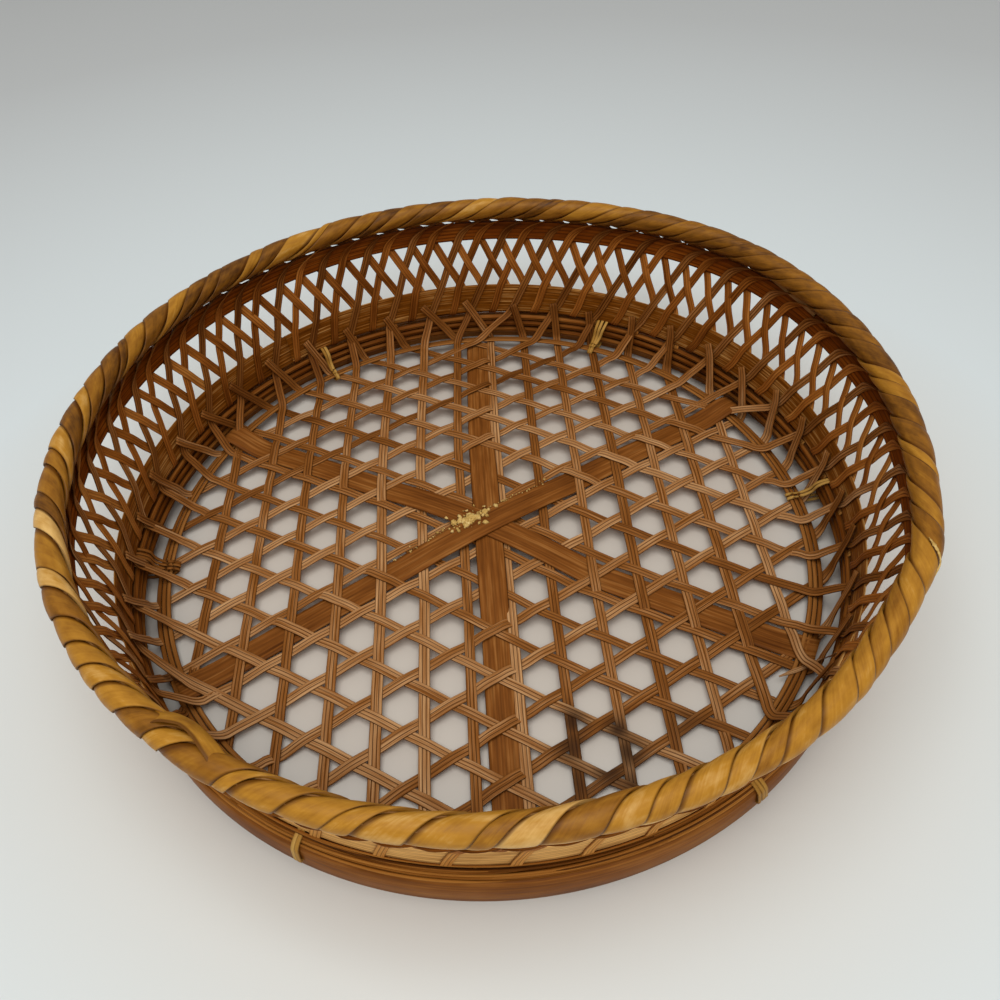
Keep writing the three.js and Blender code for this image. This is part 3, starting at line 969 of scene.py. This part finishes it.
def add_strands():
    rng = default_rng(450)
    batch = Batch()
    for i in range(STRAND_COUNT):
        degrees = ring_angles(rng.uniform(0, 360), rng.uniform(50, 130))
        lane = (i % STRAND_LANES) / (STRAND_LANES - 1) + rng.normal(0, 0.04)
        height = STRAND_START[1] + STRAND_RUN[1] * lane + 0.5 * ring_noise(rng, degrees, 12)
        radius = STRAND_START[0] + STRAND_RUN[0] * lane + 0.25 * ring_noise(rng, degrees, 12)
        curve = polar(radius, degrees, np.clip(height, *STRAND_HEIGHTS))
        width = rng.uniform(0.6, 1.15) * taper(curve, (0, 0.05, 0.95, 1), (0.1, 1, 1, 0.1))
        batch.sweep(curve, UP, width, width, STRAND_SECTION, rng.uniform(-0.2, 1.2))
    batch.build("corner_strands", "bamboo_strand")


# Wall lattice: more right-leaning splits inside the bands, and the left-leaning ones outside them

EXTRA_SHIFT = 0.45  # of the splits between the base splits' ends
EXTRA_FEET = ((16.0, 1.3, 45.0), (16.6, 0.3, 20.0))  # height, distance behind the bands' face, tilt
EVEN_HEIGHT = 33.0  # where the crossings of the two sets are spaced evenly
LONG_FOOT = 14.6  # every second left-leaning split reaches down to this height
SHORT_FOOT = MIDDLE_TOP - 0.6  # and the others end inside the middle band
OUTER_TOP = 54.0
OUTER_STEPS = 12


def add_wall_split(batch, path, rng, tones, lit_on_band=0.0):
    """Sweeps a wall split, with painted light that makes it lighter in front of the middle band by the
    share given last.
    """
    curve, normals = path.smooth()
    width = WALL_SPLIT_WIDTH * rng.uniform(0.94, 1.08)
    lit_band_share = 1 - smoothstep(MIDDLE_TOP - 2, MIDDLE_TOP + 3, curve[:, 2])
    tone = rng.uniform(*tones) + lit_on_band * lit_band_share - back_shade(curve, 0, 130)
    batch.sweep(curve, normals, width, SPLIT_THICKNESS, SPLIT_SECTION, tone[:, None])


def add_inner_splits():
    batch = Batch()
    for i in range(WALL_SPLITS // 2):
        rng = default_rng(500 + i)
        even = EVEN_START + EVEN_STEP * i + EXTRA_SHIFT + rng.normal(0, EVEN_SPREAD)
        path = Path()
        turn = extra_turn(even)
        for height, depth, tilt in EXTRA_FEET:
            angle = even - turn(height)
            path.add_round(wall_radius(height) + depth, angle, height, tilt)
        add_wall_run(path, even, turn)
        add_wall_split(batch, path, rng, (0.15, 0.6))
    batch.build("inner_wall_splits", "bamboo_wall_split", ["upper_band_with_inner_splits"])


def outer_layer(height, is_long):
    """Middle of a left-leaning split, from the bands' inner face."""
    layer = OUTER_LAYER - layer_swap(height)
    if is_long:
        return layer
    tucked = 1 - smoothstep(MIDDLE_TOP, MIDDLE_TOP + 4, height)
    return layer - (OUTER_LAYER - BAND_THICKNESS / 2) * tucked


def add_outer_splits():
    batch = Batch()
    crossing = EVEN_START - base_turn(EVEN_HEIGHT) + EXTRA_SHIFT / 2
    for i in range(WALL_SPLITS):
        rng = default_rng(700 + i)
        even = crossing + EVEN_STEP / 2 * i + rng.normal(0, EVEN_SPREAD) - outer_turn(EVEN_HEIGHT)
        is_long = i % 2 == 0
        foot = LONG_FOOT if is_long else SHORT_FOOT
        path = Path()
        for height in (foot, *np.linspace(foot + 3, OUTER_TOP, OUTER_STEPS)):
            angle = even + outer_turn(height)
            radius = wall_radius(height) + outer_layer(height, is_long)
            path.add(polar(radius, angle, height), -inward(angle, -WALL_FLARE))
        add_rim_turn(path, even, outer_turn, 1.0, OUTER_LAYER)
        # painted light on the outer splits in front of the middle band
        add_wall_split(batch, path, rng, (0.2, 0.65), lit_on_band=0.6)
    batch.build("outer_wall_splits", "bamboo_wall_split", ["middle_band_with_outer_splits"])


# Rim: two half-round canes under one strip that is wound round them, three times round the tray

WRAP_PITCH = 360.0 / RIM_WRAPS
WRAP_TURN_STEPS = 28
WRAP_DRAG = 0.48  # how much more the binding moves on along its inner side
WRAP_WANDER = 0.2  # how unevenly the turns lie, in turns
WRAP_BULGE = 0.42  # how far a turn swells in the middle
WRAP_LAP = 0.36  # how far a turn's leading edge stands above its trailing edge
WRAP_INNER_LAP = 0.12  # and half of what the inner side adds
WRAP_OVERLAP = 0.12  # how far it reaches over the next turn, in turns
WRAP_SINK = 0.4  # how far the strip's face lies below the rim's surface
WRAP_UNDER = 1.2  # and its underside
WRAP_ACROSS = np.array([-1.0, -0.9, -0.6, -0.2, 0.2, 0.6, 0.85, 1.0])
WRAP_LIP = -0.5  # turn of the binding, in radians from its outer side, where it is paler
WRAP_LIP_SPREAD = 0.4
WRAP_GOLD = 245.0  # direction where the binding is most golden
WRAP_FRESH = 290.0  # direction where brown turns are rarest
WRAP_STRIPED = 188.0  # direction where light and dark turns take turns
WRAP_BROWN = 0.12  # tone of a brown turn
CORE_SHIFT = 1.6
CORE_SIZE = (2.9, 6.2)
CORE_JOINTS = {"inner": 140.0, "outer": 260.0}


def rim_point(ring, turn, radius):
    """Place on the rim: direction, turn from its outer side in radians, distance from its middle."""
    radius = radius * (1 - RIM_PINCH * closeness(ring, FRONT, RIM_PINCH_SPREAD))
    return polar(RIM_RADIUS + radius * np.cos(turn), ring, RIM_HEIGHT + radius * np.sin(turn))


def smooth_random(rng, places, scale):
    """Random values along a line, blended smoothly between whole places."""
    values = rng.normal(0, scale, int(np.max(places)) + 3)
    whole = np.floor(places).astype(int)
    return values[whole] + (values[whole + 1] - values[whole]) * smoothstep(0, 1, places - whole)


def wrap_neighbour(turns):
    """Which place along the binding lies beside a place, one turn farther round the rim."""
    step = next(n for n in range(RIM_WRAPS) if n * RIM_ROUNDS % RIM_WRAPS == 1)
    ahead = turns + step
    return np.where(ahead < RIM_WRAPS, ahead, ahead - RIM_WRAPS)


def wrap_tone(rng, ring):
    """Golden at the front, browner at the right and back, striped at the left, with some brown turns."""
    golden = 0.5 + 0.5 * np.cos(np.radians(ring - WRAP_GOLD))
    tones = 0.33 + 0.28 * golden + rng.normal(0, 0.15, len(ring))
    tones -= 0.11 * closeness(ring, RIGHT, 35.0)
    order = np.round(ring / WRAP_PITCH)
    tones += np.where(order % 2 == 0, 0.3, -0.2) * closeness(ring, WRAP_STRIPED, 30.0)
    often = 0.13 - 0.19 * np.cos(np.radians(ring - WRAP_FRESH))
    brown = rng.uniform(size=len(ring)) < often
    return np.clip(np.where(brown, WRAP_BROWN, tones), 0.02, 1.0)


def add_rim_wrap():
    rng = default_rng(900)
    turns = np.arange(RIM_WRAPS * WRAP_TURN_STEPS - 3) / WRAP_TURN_STEPS
    angle = 2 * np.pi * turns
    middle = RIM_ROUNDS * WRAP_PITCH * (angle - WRAP_DRAG * np.sin(angle)) / (2 * np.pi)
    halves = np.arange(0, RIM_WRAPS + 2, 0.5)
    wander = smooth_random(rng, halves, WRAP_WANDER * WRAP_PITCH)
    behind = np.interp(turns, halves, wander)
    width = WRAP_PITCH + np.interp(wrap_neighbour(turns), halves, wander) - behind
    bulge = WRAP_BULGE + 0.16 * np.clip(smooth_random(rng, turns, 1.0), -1.5, 1.5)
    lap = WRAP_LAP + 0.08 * np.clip(smooth_random(rng, turns * 1.4, 1.0), -2, 2)
    lap = lap + WRAP_INNER_LAP * (1 - np.cos(angle))

    def strip_edge(u, radius):
        reach = (u + 1) / 2 + (WRAP_OVERLAP if u > 0.8 else 0.0)
        return rim_point(middle + behind + width * reach - WRAP_PITCH / 2, angle, radius)

    face = RIM_TUBE - WRAP_SINK
    top = [strip_edge(u, face + bulge * (1 - abs(u) ** 3) + lap * u) for u in WRAP_ACROSS]
    under = [strip_edge(u, RIM_TUBE - WRAP_UNDER) for u in (0.78, -0.9)]
    rings = np.stack(top + under, axis=1)
    across = np.concatenate([(WRAP_ACROSS + 1) / 2, [0.95, 0.05]])
    tones = wrap_tone(rng, np.arange(RIM_WRAPS + 1) * RIM_ROUNDS * WRAP_PITCH)
    from_lip = (angle - WRAP_LIP + np.pi) % (2 * np.pi) - np.pi
    tone = tones[np.floor(turns).astype(int)] + 0.3 * np.exp(-((from_lip / WRAP_LIP_SPREAD) ** 2))
    batch = Batch()
    batch.add_grid(rings, across, distances(rings[:, 4]), tone[:, None])
    batch.build("rim_binding", "rim_cane", ["rim_wrap"])


def add_rim_cores():
    for name, shift in (("inner", -CORE_SHIFT), ("outer", CORE_SHIFT)):
        curve = polar(RIM_RADIUS + shift, ring_angles(CORE_JOINTS[name]), RIM_HEIGHT)
        strip = (curve, UP, *CORE_SIZE, ROD_SECTION, 0.5)
        add_strip(f"rim_core_{name}", "rim_core", strip, [f"rim_hoop_{name}"])


# Ties: thin cane through the foot ring, over the rods and round the edge hoop

TIE_COUNT = 6
TIE_START = 3.5  # direction of the first, at the right
BROWN_TIE = 3  # the one that has gone brown, counted from 0
TIE_WIDTH = 1.4
TIE_THICKNESS = 0.5
TIE_PITCH = 0.65  # degrees between two strands
TIE_MIDDLE = (132.5, 8.0)  # radius and height of the middle of the loop

# Loop of a strand: radius and height
TIE_LOOP = (
    (141.5, 6.0), (141.4, 10.0), (140.8, 14.2), (138.3, 16.6), (135.0, 17.0),
    (132.0, 14.5), (130.8, 9.5), (128.0, 6.4), (124.6, 5.6), (123.1, 4.0),
    (124.6, 2.6), (130.5, 2.4), (137.0, 3.4),
)


def tie_strand(rng, middle, strand):
    """Path of one strand of a tie, once round the loop."""
    path = Path()
    shift = (strand - 0.8) * TIE_PITCH + rng.normal(0, 0.08)
    skew = rng.normal(0, 0.25)
    for step, (radius, height) in enumerate(TIE_LOOP + TIE_LOOP[:1]):
        angle = middle + shift + skew * math.sin(2 * math.pi * step / len(TIE_LOOP))
        normal = polar(radius - TIE_MIDDLE[0], angle, height - TIE_MIDDLE[1])
        path.add(polar(radius, angle, height + rng.normal(0, 0.12)), normal)
    return path


def add_ties():
    for number in range(TIE_COUNT):
        rng = default_rng(1200 + number)
        batch = Batch()
        for strand in range(2 + number % 2):
            curve, normals = tie_strand(rng, TIE_START + 360.0 / TIE_COUNT * number, strand).smooth(0.9)
            batch.sweep(curve, normals, TIE_WIDTH, TIE_THICKNESS, FLAT_SECTION, rng.uniform())
        material = "bamboo_hoop" if number == BROWN_TIE else "tie_cane"
        batch.build(f"tie_{number + 1}", material)


# Crumbs of dried residue along one edge of the top slat

CRUMB_COUNT = 230
CRUMB_HEAP = 150  # those in a heap near the middle
CRUMB_SIDES = 5
CRUMB_BED = 2.2  # height of those beside the slat


def crumb_place(rng, in_heap):
    """Place along and across the slat, and size."""
    if in_heap:
        return rng.normal(-5, 4.6), rng.normal(5.2, 1.8), 0.3 + 1.3 * rng.uniform() ** 2
    return rng.uniform(-42, 34), rng.normal(5.1, 0.35), rng.uniform(0.2, 0.5)


def add_crumbs():
    rng = default_rng(77)
    along, across = family_axes("b")
    batch = Batch()
    for i in range(CRUMB_COUNT):
        t, beside, size = crumb_place(rng, i < CRUMB_HEAP)
        flat = t * along + beside * across
        bed = slat_height("b", t) if beside < SLAT_WIDTHS["b"] / 2 else CRUMB_BED
        turn = 2 * np.pi * (np.arange(CRUMB_SIDES) + rng.uniform()) / CRUMB_SIDES
        reach = size * rng.uniform(0.6, 1.3, CRUMB_SIDES)
        lower = np.full((CRUMB_SIDES, 3), base_height(abs(t)) + bed + SLAT_THICKNESS / 2)
        lower[:, :2] = flat + reach[:, None] * np.stack([np.cos(turn), np.sin(turn)], axis=1)
        upper = lower.copy()
        upper[:, :2] = flat + (lower[:, :2] - flat) * 0.55 + rng.normal(0, 0.12, 2)
        upper[:, 2] += min(size, 0.8) * rng.uniform(0.4, 1.0, CRUMB_SIDES)
        rings = np.stack([lower, upper])
        batch.add_grid(rings, np.linspace(0, 1, CRUMB_SIDES), np.array([0.0, size]), rng.uniform())
    batch.build("residue_crumbs", "dried_crumb")


# Loose pieces: a sliver split off beside a slat's end, and the tucked end of the rim binding

SLIVER = ((96.6, -73.5, 4.7), (108.6, -70.5, 5.8), (110.8, -73.4, 16.7), (110.0, -77.6, 28.0))
TAIL = ((36.0, 64.4, 0.4), (32.0, 63.8, -0.9), (27.0, 62.6, -1.2), (23.0, 61.2, -0.9))


def add_sliver():
    curve, normals = Path(SLIVER, [UP] * len(SLIVER)).smooth(1.0)
    width = taper(curve, (0, 0.15, 0.7, 1), (0.5, 1.9, 1.5, 0.4))
    strip = (curve, normals, width, 0.35, FLAT_SECTION, 0.8)
    add_strip("loose_sliver", "bamboo_split", strip)


def add_binding_tail():
    path = Path()
    for angle, height, away in TAIL:
        path.add_round(wall_radius(height) + away, angle, height, -5.0)
    curve, normals = path.smooth(1.0)
    width = taper(curve, (0, 0.6, 1), (4.0, 3.6, 1.6))
    strip = (curve, normals, width, 0.45, FLAT_SECTION, 0.7)
    add_strip("binding_tail", "rim_core", strip)


# Worn spots on the rim: a slack turn of the binding, and a frayed edge

# Each place: direction round the tray, turn round the rim in degrees, distance from its middle line
SLACK_TURN = (
    (241.0, 104.0, 2.8),
    (239.2, 120.0, 4.9),
    (237.0, 134.0, 6.0),
    (234.8, 136.0, 6.3),
    (232.8, 124.0, 5.3),
    (231.0, 104.0, 2.8),
)
FRAYED_EDGE = (
    (332.2, 98.0, 4.7),
    (331.2, 74.0, 5.0),
    (330.4, 47.0, 5.1),
    (330.0, 22.0, 4.8),
    (328.8, 12.0, 4.45),
    (327.2, 10.0, 4.1),
)


def rim_path(places):
    """Smooth path over the rim's surface, with the normals that face away from its middle line."""
    path = Path()
    for ring, turn, away in places:
        point = rim_point(ring, math.radians(turn), away)
        path.add(point, point - rim_point(ring, 0.0, 0.0))
    return path.smooth(0.5)


def add_slack_turn():
    strip = (*rim_path(SLACK_TURN), 5.2, 0.45, FLAT_SECTION, 0.55)
    add_strip("slack_turn", "rim_cane", strip)


def add_frayed_edge():
    curve, normals = rim_path(FRAYED_EDGE)
    rng = default_rng(1300)
    width = rng.uniform(0.5, 1.7, len(curve)) * taper(curve, (0, 0.2, 0.6, 1), (0.15, 1, 0.8, 0.15))
    tone = rng.uniform(0.0, 1.0, len(curve))
    strip = (curve, normals, width, 0.35, FLAT_SECTION, tone[:, None])
    add_strip("frayed_edge", "dried_crumb", strip)


# Stage: floor, lights and the photograph's camera

FLOOR_REACH = 3.0

# Colours of the pale floor, by metres from the tray's axis: painted shade and warm bounce light under and
# round the tray, and darker far out
FLOOR_AND_SHADE_COLOURS = (
    (0.13, (0.61, 0.54, 0.47)),
    (0.19, (0.71, 0.71, 0.68)),
    (0.27, (0.72, 0.78, 0.8)),
    (0.65, (0.6, 0.625, 0.635)),
)


def floor_material():
    tree = Tree("pale_floor")
    where = tree.add("ShaderNodeTexCoord", output="Object")
    away = tree.add("ShaderNodeVectorMath", (where,), "Value", operation="LENGTH")
    uneven = tree.math("MULTIPLY_ADD", tree.noise(where, 3.0, 2.0), 0.05, away)
    # painted shade and warm bounce light round the tray, by distance from its axis
    tree.feed(tree.shader["Base Color"], tree.ramp(uneven, FLOOR_AND_SHADE_COLOURS))
    tree.feed(tree.shader["Roughness"], 0.55)
    return tree.material


def add_floor():
    mesh = bpy.data.meshes.new("floor")
    corners = [(x * FLOOR_REACH, y * FLOOR_REACH, 0) for x, y in ((-1, -1), (1, -1), (1, 1), (-1, 1))]
    mesh.from_pydata(corners, [], [(0, 1, 2, 3)])
    mesh.materials.append(floor_material())
    floor = add_object("floor", mesh)


def add_light(name, place_at, target, size, power, colour):
    data = bpy.data.lights.new(name, "AREA")
    data.size = size
    data.energy = power
    data.color = colour
    light = add_object(name, data)
    light.location = place_at
    light.rotation_mode = "QUATERNION"
    light.rotation_quaternion = (Vector(target) - Vector(place_at)).to_track_quat("-Z", "Y")


def add_lights():
    add_light("overhead", (-0.08, -0.3, 1.15), (0, -0.03, 0), 1.0, 9.3, (0.96, 0.995, 1.0))
    add_light("front_fill", (0.3, -1.1, 0.9), (0, 0, 0.03), 0.9, 2.8, (1.0, 0.97, 0.93))
    world = bpy.data.worlds.new("studio")
    world.use_nodes = True
    background = world.node_tree.nodes["Background"]
    background.inputs["Color"].default_value = (0.97, 0.93, 0.88, 1.0)
    background.inputs["Strength"].default_value = 0.42
    bpy.context.scene.world = world


def add_camera():
    lift = math.radians(CAMERA_ELEVATION)
    place_at = Vector((0, -math.cos(lift), math.sin(lift))) * CAMERA_DISTANCE * MM
    pose = Matrix.Translation(place_at)
    turns = (("X", 90 - CAMERA_ELEVATION), ("Y", -CAMERA_YAW), ("X", CAMERA_PITCH), ("Z", CAMERA_ROLL))
    for axis, degrees in turns:
        pose = pose @ Matrix.Rotation(math.radians(degrees), 4, axis)
    data = bpy.data.cameras.new("photo_camera")
    data.sensor_width = SENSOR_WIDTH
    data.lens = FOCAL_PIXELS / IMAGE_SIZE * SENSOR_WIDTH
    data.clip_start = 0.01
    camera = add_object("photo_camera", data)
    camera.matrix_world = pose
    bpy.context.scene.camera = camera


bpy.context.scene.view_settings.view_transform = "Standard"
add_camera()
add_base_splits()
add_slats()
add_edge_hoop()
add_rods()
add_middle_band()
add_upper_band()
add_foot()
add_strands()
add_inner_splits()
add_outer_splits()
add_rim_wrap()
add_rim_cores()
add_ties()
add_crumbs()
add_sliver()
add_binding_tail()
add_slack_turn()
add_frayed_edge()
add_floor()
add_lights()
